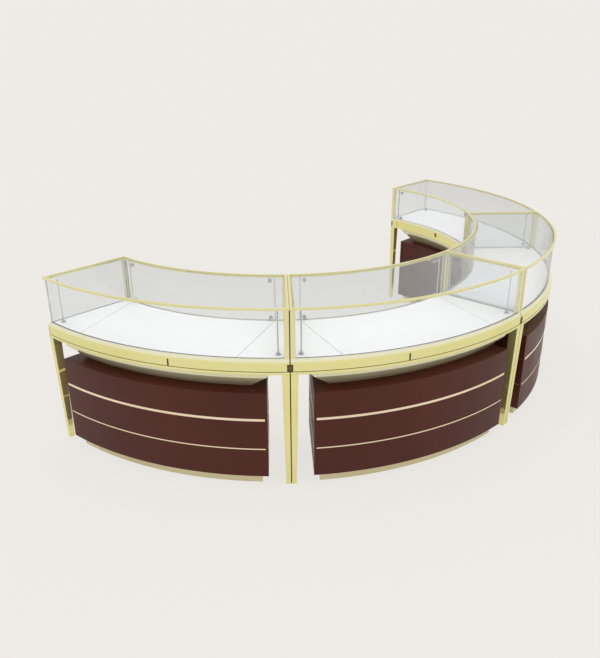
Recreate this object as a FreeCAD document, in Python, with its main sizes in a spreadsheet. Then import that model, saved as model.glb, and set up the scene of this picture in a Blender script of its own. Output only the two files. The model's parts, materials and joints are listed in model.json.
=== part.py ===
import FreeCAD, Part
import math
import os
import re

# Half-ring jewelry counter made of four curved showcase sections.
# One section is modelled about the ring's axis with its middle line along -Y, and is then turned into
# its four places. "Outward" is away from the ring's axis; the staff stand on the inner side.

SECTIONS = 4
FIRST_ANGLE = "-section_angle * 3 / 2"
# Sections by number and their ends by side. Two ends are free, and the others join their neighbours.
NUMBERS = range(1, SECTIONS + 1)
SIDES = (-1, 1)
FREE_ENDS = {(1, -1), (SECTIONS, 1)}

SIZES = (
    # ring in plan, and the overall height
    ("outer_radius", 1810),
    ("counter_depth", 510),
    ("section_angle", 45),
    ("section_gap", 5),
    ("counter_height", 960),
    # fits
    ("pane_fit", 0.3),
    ("slide_fit", 0.3),
    ("pin_fit", 0.05),
    ("knob_fit", 0.1),
    ("band_fit", 0.1),
    # tapered legs, and the corner posts of the glass case
    ("leg_head_width", 36),
    ("leg_head_depth", 48),
    ("leg_foot_width", 24),
    ("leg_foot_depth", 27),
    ("leg_foot_setback", 17),
    ("post_width", 24),
    # plinth and cabinet
    ("plinth_height", 58),
    ("plinth_setback", 38),
    ("plinth_end", 146),
    ("plinth_wall", 18),
    ("cabinet_height", 470),
    ("cabinet_setback", 2),
    ("cabinet_end", 114),
    ("board", 18),
    ("shelf_rise", 214),
    ("shelf_setback", 24),
    # inlay strips
    ("strip_proud", 2),
    ("strip_corner", 12),
    ("upper_strip_level", 383),
    ("upper_strip_height", 13),
    ("lower_strip_level", 218),
    ("lower_strip_height", 9),
    # cabinet doors
    ("door_thickness", 18),
    ("door_edge_gap", 2),
    ("door_end_gap", 3.5),
    ("door_meeting_gap", 1.5),
    ("hinge_inset", 12),
    ("hinge_radius", 4),
    ("hinge_length", 14),
    ("hinge_end_play", 2),
    ("knob_spacing", 74),
    ("knob_drop", 68),
    ("knob_radius", 13),
    ("knob_thickness", 16),
    ("stem_radius", 5),
    ("stem_length", 14),
    # flared neck with an upright collar
    ("neck_height", 100),
    ("neck_collar", 30),
    ("neck_foot_setback", 88),
    ("neck_head_setback", 28),
    ("neck_foot_end", 190),
    ("neck_head_end", 85),
    ("neck_wall", 12),
    ("driver_length", 160),
    ("driver_width", 42),
    ("driver_height", 30),
    # apron and case floor
    ("apron_height", 77),
    ("apron_wall", 18),
    ("front_wall", 28),
    ("end_wall", 14),
    ("upper_lip", 23),
    ("lip_lean", 14),
    ("lower_lip", 14),
    ("band_recess", 3),
    ("band_thickness", 2.2),
    ("band_groove", 3),
    ("band_split", 9),
    ("band_split_offset", 115),
    ("floor_thickness", 12),
    # connectors between sections
    ("notch_width", 12),
    ("notch_depth", 15),
    ("connector_fit", 0.5),
    ("connector_recess", 4),
    # display drawer
    ("drawer_margin", 57.5),
    ("drawer_side_gap", 2),
    ("deck_thickness", 15),
    ("rail_width", 12),
    ("rail_height", 32),
    ("rail_inset", 48),
    ("rail_back_gap", 37),
    ("runner_inset", 80),
    ("runner_width", 12),
    ("runner_side_gap", 0.5),
    ("drawer_foot_gap", 2),
    # drawer lock
    ("lock_radius", 8),
    ("lock_head_radius", 10),
    ("lock_head", 2.5),
    ("lock_rise", 37),
    ("cam_length", 22),
    ("cam_width", 10),
    ("cam_thickness", 2),
    ("keeper_gap", 1),
    ("keeper_thickness", 3),
    ("keeper_width", 24),
    ("keeper_height", 17),
    # glass, rim, clamps and lights
    ("glass", 6),
    ("case_setback", 10),
    ("front_glass_setback", 20),
    ("rear_pane_setback", 8),
    ("rear_pane_top_gap", 3),
    ("end_pane_setback", 8),
    ("rim_height", 12),
    ("rim_width", 22),
    ("rim_ledge", 10),
    ("rim_ledge_height", 5),
    ("clamp_radius", 10),
    ("clamp_thickness", 8),
    ("clamp_side", 22),
    ("clamp_rise", 14),
    ("clamp_drop", 18),
    ("pole_radius", 3),
    ("pole_base_radius", 13),
    ("pole_base_height", 6),
    ("pole_setback", 66),
    ("pole_end", 55),
    ("pole_top_gap", 8),
)
ALIASES = {alias for alias, value in SIZES}

# Sizes that follow from the others. The drawer keeps its margin to the section's ends on the inner arc, and
# its rails and runners keep their distance from the drawer's front and from the apron's outer wall.
DERIVED = {
    "inner_radius": "(outer_radius - counter_depth)",
    "drawer_half_width": "(inner_radius * sin(section_angle / 2 * 1 deg) - drawer_margin)",
    "drawer_front_edge": "sqrt((inner_radius + apron_wall) ^ 2 - drawer_half_width ^ 2)",
    "drawer_back_edge": "sqrt((outer_radius - front_wall) ^ 2 - drawer_half_width ^ 2)",
    "rail_front": "(drawer_front_edge + rail_inset)",
    "rail_back": "(drawer_back_edge - rail_back_gap)",
    "runner_front": "(drawer_front_edge + runner_inset)",
}

# Levels and radii that several pieces share, worked out from the sizes.
END = "section_gap / 2"
HALF = "section_angle / 2"
CABINET_LOW = "plinth_height"
CABINET_HIGH = "plinth_height + cabinet_height"
CABINET_OUTER = "outer_radius - cabinet_setback"
CASE_LOW = f"{CABINET_HIGH} + neck_height"
FLOOR_TOP = f"{CASE_LOW} + floor_thickness"
BAND_LOW = f"{CASE_LOW} + lower_lip"
DECK = f"{CASE_LOW} + apron_height"
BAND_HIGH = f"{DECK} - upper_lip"
RIM_LOW = "counter_height - rim_height"
CASE_OUTER = "outer_radius - lip_lean"
RIM_OUTER = "outer_radius - case_setback"
APRON_END = f"{END} + end_wall"
INSIDE_END = f"{END} + post_width + pane_fit"
DOOR_LOW = f"{CABINET_LOW} + board + door_edge_gap"
DOOR_HIGH = f"{CABINET_HIGH} - board - door_edge_gap"
DOOR_END = "cabinet_end + board + door_end_gap"
HINGE_OFFSET = f"{DOOR_END} + hinge_inset"
HINGE_RADIUS = "inner_radius + door_thickness / 2"
LOCK_LEVEL = f"{CASE_LOW} + lock_rise"
DRAWER_FRONT_BACK = "inner_radius + apron_wall"
DRAWER_GAP = "drawer_half_width + drawer_side_gap"
PANE_NEAR = "inner_radius + rear_pane_setback"
PANE_FAR = f"{PANE_NEAR} + glass"
PANE_TOP = f"{RIM_LOW} - rear_pane_top_gap"
RING_CENTRE = f"(outer_radius + {END}) / 2"
BEYOND = "2 * outer_radius"

doc = FreeCAD.newDocument("display_counter")
sheet = doc.addObject("Spreadsheet::Sheet", "Sizes")
for row, (alias, value) in enumerate(SIZES, start=1):
    sheet.set(f"A{row}", alias)
    sheet.set(f"B{row}", str(value))
    sheet.setAlias(f"B{row}", alias)
doc.recompute()


def formula(text):
    """The names in a text become references to the sheet, and those of derived sizes their formulas."""
    def reference(word):
        if word[0] in DERIVED:
            return formula(DERIVED[word[0]])
        return f"Sizes.{word[0]}" if word[0] in ALIASES else word[0]
    return re.sub(r"[a-z_]+", reference, str(text))


def bind(piece, **sizes):
    for name, text in sizes.items():
        piece.setExpression(name, formula(text))


def place(piece, x="0", y="0", z="0"):
    piece.setExpression("Placement.Base.x", formula(x))
    piece.setExpression("Placement.Base.y", formula(y))
    piece.setExpression("Placement.Base.z", formula(z))


def turn(piece, angle):
    piece.setExpression("Placement.Rotation.Angle", formula(f"({angle}) * 1 deg"))


# Building blocks


def drum(radius, low, high):
    """Full round disc about the ring's axis."""
    piece = doc.addObject("Part::Cylinder", "drum")
    bind(piece, Radius=radius, Height=f"({high}) - ({low})")
    place(piece, z=low)
    return piece


sectors = {}


def sector(end_gap):
    """Wedge of the plan between the two end planes of a section, each end_gap from its joint plane."""
    if end_gap not in sectors:
        piece = doc.addObject("Part::Cylinder", "sector")
        bind(piece, Radius=BEYOND, Angle="section_angle", Height="2 * counter_height")
        place(piece, y=f"-({end_gap}) / sin({HALF} * 1 deg)", z="-counter_height / 2")
        turn(piece, f"-90 - {HALF}")
        sectors[end_gap] = piece
    return sectors[end_gap]


def joined(kind, base, tool):
    piece = doc.addObject(kind, kind.split("::")[1].lower())
    piece.Base = base
    piece.Tool = tool
    return piece


def cut(base, *tools):
    for tool in tools:
        base = joined("Part::Cut", base, tool)
    return base


def common(base, *tools):
    for tool in tools:
        base = joined("Part::Common", base, tool)
    return base


def fuse(base, *tools):
    for tool in tools:
        base = joined("Part::Fuse", base, tool)
    return base


def ring(near, far, low, high):
    """Full ring between two radii."""
    return cut(drum(far, low, high), drum(near, f"({low}) - counter_height", f"({high}) + counter_height"))


def curved(near, far, low, high, end_gap):
    """Curved board or pane of one section, between two radii and its two end planes."""
    return common(ring(near, far, low, high), sector(end_gap))


def block(left, right, near, far, low, high):
    """Square block: left and right across, near and far outward from the ring's axis."""
    piece = doc.addObject("Part::Box", "block")
    bind(piece, Length=f"({right}) - ({left})", Width=f"({far}) - ({near})", Height=f"({high}) - ({low})")
    place(piece, x=left, y=f"-({far})", z=low)
    return piece


def rod(radius, across, outward, low, high):
    """Upright round bar."""
    piece = doc.addObject("Part::Cylinder", "rod")
    bind(piece, Radius=radius, Height=f"({high}) - ({low})")
    place(piece, x=across, y=f"-({outward})", z=low)
    return piece


def peg(radius, near, far, across, level):
    """Round bar that lies along the outward direction."""
    piece = doc.addObject("Part::Cylinder", "peg")
    bind(piece, Radius=radius, Height=f"({far}) - ({near})")
    piece.Placement.Rotation = FreeCAD.Rotation(FreeCAD.Vector(1, 0, 0), -90)
    place(piece, x=across, y=f"-({far})", z=level)
    return piece


def turned(pieces, angle):
    """The pieces turned about the ring's axis, as a group of separate solids."""
    group = doc.addObject("Part::Compound", "turned")
    group.Links = pieces
    turn(group, angle)
    return group


def at_end(side, make):
    """A piece laid out beside a joint plane, at the section's end on that side (-1 or 1)."""
    return turned([make(side)], f"{side} * {HALF}")


def at_both_ends(make):
    return [at_end(side, make) for side in SIDES]


def end_block(side, start, width, near, far, low, high):
    """Block that starts at a distance from the joint plane and runs into its section."""
    if side < 0:
        return block(start, f"{start} + ({width})", near, far, low, high)
    return block(f"-({start}) - ({width})", f"-({start})", near, far, low, high)


def side_half(side, edge):
    """Everything on one side of the section's middle line, from a distance on."""
    if side < 0:
        return block(f"-{BEYOND}", f"-({edge})", "0", BEYOND, "-counter_height", "2 * counter_height")
    return block(edge, BEYOND, "0", BEYOND, "-counter_height", "2 * counter_height")


def middle(half_width):
    """Everything between two lines parallel to the section's middle line."""
    return block(f"-({half_width})", half_width, "0", BEYOND, "-counter_height", "2 * counter_height")


# Nodes

nodes = []


def section_angle_of(number):
    return f"{FIRST_ANGLE} + {number - 1} * section_angle"


def in_place(pieces, number):
    """The pieces of one section turned to the place of section 1 to 4."""
    return turned(pieces, section_angle_of(number))


def node(label, groups):
    """One node of the part, moved from the ring's axis to the part's own origin."""
    piece = doc.addObject("Part::Compound", label)
    piece.Label = label
    piece.Links = groups
    place(piece, y=RING_CENTRE)
    nodes.append(piece)


def shared_node(label, pieces):
    node(label, [in_place(pieces, number) for number in NUMBERS])


def section_nodes(pattern, pieces):
    for number in NUMBERS:
        node(pattern.format(number), [in_place(pieces, number)])


# Legs and case posts


def leg(side, foot_near, head_near):
    """Leg that tapers from its head to its foot, upright only along the joint plane."""
    piece = doc.addObject("Part::Wedge", "leg")
    for level, width, near, depth in (
        ("", "leg_foot_width", foot_near, "leg_foot_depth"),
        ("2", "leg_head_width", head_near, "leg_head_depth"),
    ):
        left, right = (END, f"{END} + {width}") if side < 0 else (f"-({END}) - {width}", f"-({END})")
        bind(piece, **{f"X{level}min": left, f"X{level}max": right,
                       f"Z{level}min": near, f"Z{level}max": f"{near} + {depth}"})
    bind(piece, Ymin="0", Ymax=CASE_LOW)
    piece.Placement.Rotation = FreeCAD.Rotation(FreeCAD.Vector(1, 0, 0), 90)
    return piece


def end_legs(side):
    outer = leg(side, "outer_radius - leg_foot_setback - leg_foot_depth", "outer_radius - leg_head_depth")
    inner = leg(side, "inner_radius + leg_foot_setback", "inner_radius")
    return turned([outer, inner], f"{side} * {HALF}")


def end_posts(number, side):
    """Posts at one end of a section. At a free end the outer corner is of glass alone."""
    outer_near = f"{CASE_OUTER} - post_width"
    posts = [end_block(side, END, "post_width", "inner_radius", "inner_radius + post_width", DECK, RIM_LOW)]
    if (number, side) not in FREE_ENDS:
        posts.append(end_block(side, END, "post_width", outer_near, CASE_OUTER, DECK, RIM_LOW))
    return turned(posts, f"{side} * {HALF}")


shared_node("legs", [end_legs(side) for side in SIDES])
node("case_posts", [in_place([end_posts(number, side) for side in SIDES], number) for number in NUMBERS])

# Plinth and cabinet

plinth = cut(
    curved("inner_radius + plinth_setback", "outer_radius - plinth_setback", "0", CABINET_LOW, "plinth_end"),
    curved("inner_radius + plinth_setback + plinth_wall", "outer_radius - plinth_setback - plinth_wall",
           "0", CABINET_LOW, "plinth_end + plinth_wall"),
)
shared_node("plinths", [plinth])

board_low = f"{CABINET_LOW} + board"
board_high = f"{CABINET_HIGH} - board"
front_back = f"{CABINET_OUTER} - board"
bottom_board = curved("inner_radius", front_back, CABINET_LOW, board_low, "cabinet_end")
top_board = curved("inner_radius", front_back, board_high, CABINET_HIGH, "cabinet_end")
end_boards = cut(
    curved("inner_radius", front_back, board_low, board_high, "cabinet_end"),
    sector("cabinet_end + board"),
)
front_board = curved(front_back, CABINET_OUTER, CABINET_LOW, CABINET_HIGH, "cabinet_end")
section_nodes("cabinet_{}", [bottom_board, top_board, end_boards, front_board])

shelf_low = f"{board_low} + shelf_rise"
shelf = curved("inner_radius + door_thickness + shelf_setback", f"{front_back} - pane_fit",
               shelf_low, f"{shelf_low} + board", "cabinet_end + board")
shared_node("shelves", [shelf])


def strips(level, height):
    """Inlay line at one height: along the front board, and on each end board."""
    low = f"{level} - {height} / 2"
    high = f"{level} + {height} / 2"
    front = curved(CABINET_OUTER, f"{CABINET_OUTER} + strip_proud", low, high, "cabinet_end + strip_corner")
    ends = cut(
        curved("inner_radius + strip_corner", f"{CABINET_OUTER} - strip_corner", low, high,
               "cabinet_end - strip_proud"),
        sector("cabinet_end"),
    )
    return [front, ends]


shared_node("inlay_strips", strips("upper_strip_level", "upper_strip_height")
            + strips("lower_strip_level", "lower_strip_height"))

# Cabinet doors on upright pins


hinge_outward = f"sqrt(({HINGE_RADIUS}) ^ 2 - ({HINGE_OFFSET}) ^ 2)"
hinge_across = f"{hinge_outward} * sin({HALF} * 1 deg) - ({HINGE_OFFSET}) * cos({HALF} * 1 deg)"


def hinge_rods(side, radius, low, high):
    return turned([rod(radius, f"{-side} * ({HINGE_OFFSET})", hinge_outward, low, high)], f"{side} * {HALF}")


def hinge_pins(side):
    lower = hinge_rods(side, "hinge_radius", board_low, f"{board_low} + hinge_length")
    upper = hinge_rods(side, "hinge_radius", f"{board_high} - hinge_length", board_high)
    return [lower, upper]


def door(side):
    """Curved door. Its meeting edge is rounded about the hinge, so that a pair can swing at the same time."""
    panel = common(
        curved("inner_radius", "inner_radius + door_thickness", DOOR_LOW, DOOR_HIGH, DOOR_END),
        hinge_rods(side, f"{hinge_across} - door_meeting_gap / 2", DOOR_LOW, DOOR_HIGH),
    )
    bore = "hinge_radius + pin_fit"
    depth = "(hinge_length + hinge_end_play)"
    lower = hinge_rods(side, bore, CABINET_LOW, f"{board_low} + {depth}")
    upper = hinge_rods(side, bore, f"{board_high} - {depth}", CABINET_HIGH)
    return cut(panel, lower, upper)


def knob(side):
    face = "inner_radius - knob_fit"
    level = f"{CABINET_HIGH} - knob_drop"
    stem = peg("stem_radius", f"{face} - stem_length", face, "0", level)
    head = doc.addObject("Part::Ellipsoid", "knob_head")
    bind(head, Radius1="knob_thickness / 2", Radius2="knob_radius", Radius3="knob_radius")
    head.Angle1 = -90
    head.Angle2 = 90
    head.Placement.Rotation = FreeCAD.Rotation(FreeCAD.Vector(1, 0, 0), -90)
    place(head, y=f"-({face}) + stem_length", z=level)
    return turned([fuse(stem, head)], f"{side} * asin(knob_spacing / 2 / inner_radius) / 1 deg")


shared_node("hinge_pins", hinge_pins(-1) + hinge_pins(1))
# Seen from the staff's place, the left door is on the +X side of the section's own frame.
for side, hand in ((1, "left"), (-1, "right")):
    section_nodes("door_{}_" + hand, [door(side)])
    section_nodes("door_{}_" + hand + "_knob", [knob(side)])

# Flared neck, lofted from its foot to its collar and its head


def outline(near, far, end_gap, level):
    """Closed plan outline of a curved section at one level."""
    half = math.radians(sheet.section_angle / 2)

    def corner(radius, side):
        angle = half - math.asin(end_gap / radius)
        return FreeCAD.Vector(side * radius * math.sin(angle), -radius * math.cos(angle), level)

    def bow(radius, side):
        crown = FreeCAD.Vector(0, -radius, level)
        return Part.Arc(corner(radius, side), crown, corner(radius, -side)).toShape()

    return Part.Wire([
        bow(far, -1),
        Part.LineSegment(corner(far, 1), corner(near, 1)).toShape(),
        bow(near, 1),
        Part.LineSegment(corner(near, -1), corner(far, -1)).toShape(),
    ])


def flare(inset):
    foot = sheet.plinth_height + sheet.cabinet_height
    inner_radius = sheet.outer_radius - sheet.counter_depth
    head = foot + sheet.neck_height
    taper = (sheet.neck_foot_end - sheet.neck_head_end) / sheet.neck_height
    collar_end = sheet.neck_head_end + taper * sheet.neck_collar
    levels = (
        (foot, sheet.neck_foot_setback, sheet.neck_foot_end),
        (head - sheet.neck_collar, sheet.neck_head_setback, collar_end),
        (head, sheet.neck_head_setback, sheet.neck_head_end),
    )
    wires = []
    for level, setback, end_gap in levels:
        near = inner_radius + setback + inset
        far = sheet.outer_radius - setback - inset
        wires.append(outline(near, far, end_gap + inset, level))
    return Part.makeLoft(wires, True, True)


neck = doc.addObject("Part::Feature", "neck")
neck.Shape = flare(0).cut(flare(sheet.neck_wall))
shared_node("necks", [neck])

driver_middle = "(inner_radius + outer_radius) / 2"
driver = block("-driver_length / 2", "driver_length / 2", f"{driver_middle} - driver_width / 2",
               f"{driver_middle} + driver_width / 2", CABINET_HIGH, f"{CABINET_HIGH} + driver_height")
shared_node("light_drivers", [driver])

# Apron frame with its lips, band recess, drawer mouth and connector notches

apron_body = curved("inner_radius", "outer_radius", CASE_LOW, DECK, END)
apron_inside = curved("inner_radius + apron_wall", "outer_radius - front_wall", CASE_LOW, DECK, APRON_END)
drawer_mouth = common(middle(DRAWER_GAP), drum("inner_radius + apron_wall * 2", CASE_LOW, DECK))
band_channel = ring("outer_radius - band_recess", "outer_radius + band_recess", BAND_LOW, BAND_HIGH)
inner_channel = ring("inner_radius - band_recess", "inner_radius + band_recess", BAND_LOW, BAND_HIGH)

lean = doc.addObject("Part::Cone", "lip_lean")
bind(lean, Radius1="outer_radius", Radius2="outer_radius - lip_lean", Height="upper_lip")
place(lean, z=BAND_HIGH)
lip_shaving = cut(drum("outer_radius + lip_lean", BAND_HIGH, DECK), lean)


def notches(side):
    width = f"{END} + notch_width"
    outer = end_block(side, "0", width, "outer_radius - notch_depth", BEYOND, BAND_LOW, BAND_HIGH)
    inner = end_block(side, "0", width, "0", "inner_radius + notch_depth", BAND_LOW, BAND_HIGH)
    return turned([outer, inner], f"{side} * {HALF}")


apron = cut(apron_body, apron_inside, drawer_mouth, band_channel, inner_channel, lip_shaving,
            notches(-1), notches(1))
shared_node("apron_frames", [apron])

# Band strips, cut once off the middle, on the side of the joint that two sections share

band_face = "outer_radius - band_recess + band_fit"
band = curved(band_face, f"{band_face} + band_thickness", f"{BAND_LOW} + band_groove", BAND_HIGH,
              f"{END} + notch_width")


def split_band(side):
    left = f"{side} * band_split_offset - band_split / 2"
    slot = block(left, f"{left} + band_split", "inner_radius", BEYOND, "0", "counter_height")
    return cut(band, slot)


split_bands = (split_band(1), split_band(-1))
node("apron_bands", [in_place([split_bands[(number - 1) % 2]], number) for number in NUMBERS])

# Connectors in the notches: across each joint, and a short filler at the two free ends


def connectors(left, right, angle):
    low = f"{BAND_LOW} + connector_fit"
    high = f"{BAND_HIGH} - connector_fit"
    outer = block(left, right, "outer_radius - notch_depth", "outer_radius - connector_recess", low, high)
    inner = block(left, right, "inner_radius + connector_recess", "inner_radius + notch_depth", low, high)
    return turned([outer, inner], angle)


reach = f"({END} + notch_width - connector_fit)"
first_joint = f"{FIRST_ANGLE} - {HALF}"
joints = [
    connectors(f"-{reach}", reach, f"{first_joint} + {number} * section_angle")
    for number in range(1, SECTIONS)
]
free_ends = [
    connectors(END, reach, first_joint),
    connectors(f"-{reach}", f"-({END})", f"{first_joint} + {SECTIONS} * section_angle"),
]
node("joint_connectors", joints + free_ends)

# Case floor, fixed side decks, runners and lock keeper

floor_near = f"{DRAWER_FRONT_BACK} + keeper_gap"
floor_far = "outer_radius - front_wall - pane_fit"
case_floor = curved(floor_near, floor_far, CASE_LOW, FLOOR_TOP, APRON_END)
shared_node("case_floors", [case_floor])

side_decks = [
    common(
        curved(f"{DRAWER_FRONT_BACK} + pane_fit", floor_far, f"{DECK} - deck_thickness", DECK, APRON_END),
        side_half(side, DRAWER_GAP),
    )
    for side in SIDES
]
shared_node("fixed_decks", side_decks)

runner_outer = "drawer_half_width - rail_width - runner_side_gap"
runner_top = f"{DECK} - deck_thickness - slide_fit"


def runner(side):
    left = f"-({runner_outer})" if side < 0 else f"{runner_outer} - runner_width"
    return block(left, f"{left} + runner_width", "runner_front", "rail_back", FLOOR_TOP, runner_top)


shared_node("drawer_runners", [runner(-1), runner(1)])

keeper_far = f"{floor_near} + keeper_thickness"
keeper = block("-keeper_width / 2", "keeper_width / 2", floor_near, keeper_far,
               FLOOR_TOP, f"{FLOOR_TOP} + keeper_height")
shared_node("lock_keepers", [keeper])

# Display drawer: deck with side rails, staff-side front, rear pane, clamps and lock

deck_low = f"{DECK} - deck_thickness"
deck_back = "outer_radius - front_wall - drawer_side_gap"
drawer_deck = common(ring(DRAWER_FRONT_BACK, deck_back, deck_low, DECK), middle("drawer_half_width"))
rails = [
    block(left, f"{left} + rail_width", "rail_front", "rail_back", f"{deck_low} - rail_height", deck_low)
    for left in ("-drawer_half_width", "drawer_half_width - rail_width")
]
section_nodes("drawer_{}_tray", [fuse(drawer_deck, *rails)])

front_panel = common(
    ring("inner_radius", f"{DRAWER_FRONT_BACK} - pin_fit", f"{CASE_LOW} + drawer_foot_gap", DECK),
    middle("drawer_half_width"),
)
lock_bore = peg("lock_radius + pin_fit", "0", BEYOND, "0", LOCK_LEVEL)
section_nodes("drawer_{}_front", [cut(front_panel, inner_channel, lock_bore)])

rear_pane = common(ring(PANE_NEAR, PANE_FAR, DECK, PANE_TOP), middle("drawer_half_width - drawer_side_gap"))
section_nodes("drawer_{}_pane", [rear_pane])


def clamps():
    levels = (f"{DECK} + clamp_rise", f"{PANE_TOP} - clamp_drop")
    near = f"{PANE_FAR} + pin_fit"
    angle = f"asin((drawer_half_width - clamp_side) / ({PANE_FAR})) / 1 deg"
    discs = [peg("clamp_radius", near, f"{near} + clamp_thickness", "0", level) for level in levels]
    return [turned(discs, f"{side} * {angle}") for side in SIDES]


section_nodes("drawer_{}_pane_clamps", clamps())

lock_face = "inner_radius + band_recess - pin_fit"
cam_near = f"{keeper_far} + keeper_gap"
cam = block("0", "cam_length", cam_near, f"{cam_near} + cam_thickness", f"{LOCK_LEVEL} - cam_width / 2",
            f"{LOCK_LEVEL} + cam_width / 2")
lock = fuse(
    peg("lock_head_radius", f"{lock_face} - lock_head", lock_face, "0", LOCK_LEVEL),
    peg("lock_radius", lock_face, DRAWER_FRONT_BACK, "0", LOCK_LEVEL),
    peg("cam_width / 2", DRAWER_FRONT_BACK, f"{cam_near} + cam_thickness", "0", LOCK_LEVEL),
    cam,
)
section_nodes("drawer_{}_lock", [lock])

# Glass case: curved front, flat ends, narrow rear corners, top, and the gold rim that holds them

front_face = "outer_radius - front_glass_setback"
front_near = f"{front_face} - glass"


def post_zone(side):
    return end_block(side, "0", INSIDE_END, f"{front_near} - glass", BEYOND, DECK, RIM_LOW)


def front_pane(number):
    """Curved front pane. It ends at a post, or covers the edge of the end pane where the end is free."""
    pane = curved(front_near, front_face, DECK, RIM_LOW, f"{END} + end_pane_setback")
    return cut(pane, *[at_end(side, post_zone) for side in SIDES if (number, side) not in FREE_ENDS])


def end_pane(number, side):
    stop = front_near if (number, side) in FREE_ENDS else f"{CASE_OUTER} - post_width"
    pane = end_block(side, f"{END} + end_pane_setback", "glass", "inner_radius + post_width + pane_fit",
                     f"{stop} - pane_fit", DECK, RIM_LOW)
    return turned([pane], f"{side} * {HALF}")


rear_corners = [
    common(curved(PANE_NEAR, PANE_FAR, DECK, RIM_LOW, INSIDE_END), side_half(side, DRAWER_GAP))
    for side in SIDES
]
node("front_glass", [in_place([front_pane(number)], number) for number in NUMBERS])
node("end_glass", [in_place([end_pane(number, side) for side in SIDES] + rear_corners, number)
                   for number in NUMBERS])

rim_body = curved("inner_radius", RIM_OUTER, RIM_LOW, "counter_height", END)
rim_mouth = curved("inner_radius + rim_width", f"{RIM_OUTER} - rim_width", RIM_LOW, "counter_height",
                   f"{END} + rim_width")
rim_lip = "rim_width - rim_ledge"
ledge_top = f"{RIM_LOW} + rim_ledge_height"
rim_rebate = curved(f"inner_radius + {rim_lip}", f"{RIM_OUTER} - ({rim_lip})", ledge_top, "counter_height",
                    f"{END} + {rim_lip}")
shared_node("top_rims", [cut(rim_body, rim_mouth, rim_rebate)])
top_pane = curved(f"inner_radius + {rim_lip} + pane_fit", f"{RIM_OUTER} - ({rim_lip}) - pane_fit",
                  ledge_top, f"{ledge_top} + glass", f"{END} + {rim_lip} + pane_fit")
shared_node("top_glass", [top_pane])

# Upright light poles on the fixed decks


def light_pole(side):
    across = f"{-side} * pole_end"
    outward = "outer_radius - pole_setback"
    base = rod("pole_base_radius", across, outward, DECK, f"{DECK} + pole_base_height")
    pole = rod("pole_radius", across, outward, DECK, f"{ledge_top} - pole_top_gap")
    return fuse(base, pole)


shared_node("light_poles", at_both_ends(light_pole))

# Every object is sound before anything is written

doc.recompute()
for piece in doc.Objects:
    if {"Invalid", "Error"} & set(piece.State):
        raise RuntimeError(f"{piece.Label} failed: {piece.State}")
os.makedirs("parts", exist_ok=True)
for piece in nodes:
    shape = piece.Shape
    if shape.isNull() or not shape.isValid() or not shape.Solids:
        raise RuntimeError(f"{piece.Label} has no sound solid")
for piece in nodes:
    piece.Shape.exportStep(f"parts/{piece.Label}.step")
    print(piece.Label, len(piece.Shape.Solids), "solids", round(piece.Shape.Volume), "mm3")
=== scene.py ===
# %% [markdown]
# A half-ring jewelry counter of four curved showcases. The construction arrives finished: every leg,
# board, pane and drawer is already in its place, at its real size. This lesson gives it its surfaces and
# the small turned and moulded pieces that a drawing of the construction leaves out. First the frame is
# loaded.

# %% Load the construction
import json
import math

import bmesh
import bpy
from mathutils import Matrix, Vector


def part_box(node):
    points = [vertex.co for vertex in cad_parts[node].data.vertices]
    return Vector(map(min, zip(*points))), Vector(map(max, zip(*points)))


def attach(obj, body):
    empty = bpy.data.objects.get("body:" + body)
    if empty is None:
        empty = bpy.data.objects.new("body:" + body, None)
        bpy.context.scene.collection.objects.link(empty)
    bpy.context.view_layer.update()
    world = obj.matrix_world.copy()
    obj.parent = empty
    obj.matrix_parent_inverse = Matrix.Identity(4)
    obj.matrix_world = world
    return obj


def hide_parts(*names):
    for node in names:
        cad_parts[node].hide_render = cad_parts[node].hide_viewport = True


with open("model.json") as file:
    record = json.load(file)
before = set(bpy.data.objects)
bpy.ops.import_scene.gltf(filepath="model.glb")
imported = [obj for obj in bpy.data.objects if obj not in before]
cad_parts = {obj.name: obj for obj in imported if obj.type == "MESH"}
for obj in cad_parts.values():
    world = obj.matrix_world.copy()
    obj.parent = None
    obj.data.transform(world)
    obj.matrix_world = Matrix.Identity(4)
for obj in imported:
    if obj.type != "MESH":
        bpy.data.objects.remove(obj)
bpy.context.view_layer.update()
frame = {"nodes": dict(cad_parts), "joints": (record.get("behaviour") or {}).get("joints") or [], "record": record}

scene = bpy.context.scene
scene.view_settings.view_transform = "Standard"
MM = 0.001

# %% [markdown]
# Everything on this counter is laid out around one upright axis, the middle of the half ring. It lies in
# the plane X = 0, which halves the counter, and every drawer lock points straight at it. So the axis is
# where the line of one lock crosses that plane.

# %% Find the ring's axis
SECTIONS = range(1, 5)
joints = {joint["name"]: joint for joint in frame["joints"]}


def lock_line(number):
    """Where the lock of a section sits, and the direction in which it points."""
    lock = joints[f"lock_{number}_turn"]
    return Vector(lock["pos_m"]), Vector(lock["axis"])


lock_place, lock_direction = lock_line(1)
ring_axis = lock_place - lock_direction * (lock_place.x / lock_direction.x)
ring_axis.z = 0
print("ring axis at", [round(value, 4) for value in ring_axis])

# %% [markdown]
# From here on a place is given the way the maker would give it: an angle around the ring, a distance from
# the axis and a height. The locks also give the middle of each section, and the five section ends lie
# half a section to either side of the middles.

# %% Places around the ring
UP = Vector((0, 0, 1))


def outward(angle):
    """Level direction away from the ring's axis."""
    return Vector((math.sin(angle), -math.cos(angle), 0))


def along_ring(angle):
    """Level direction along the ring, towards greater angles."""
    return Vector((math.cos(angle), math.sin(angle), 0))


def around(angle, radius, height):
    """A place given by its angle, its distance from the ring's axis and its height."""
    return ring_axis + outward(angle) * radius + UP * height


def bearing(point):
    """Angle of a place around the ring."""
    return math.atan2(point.x - ring_axis.x, ring_axis.y - point.y)


def distance_out(point):
    """Level distance of a place from the ring's axis."""
    return math.hypot(point.x - ring_axis.x, point.y - ring_axis.y)


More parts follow.
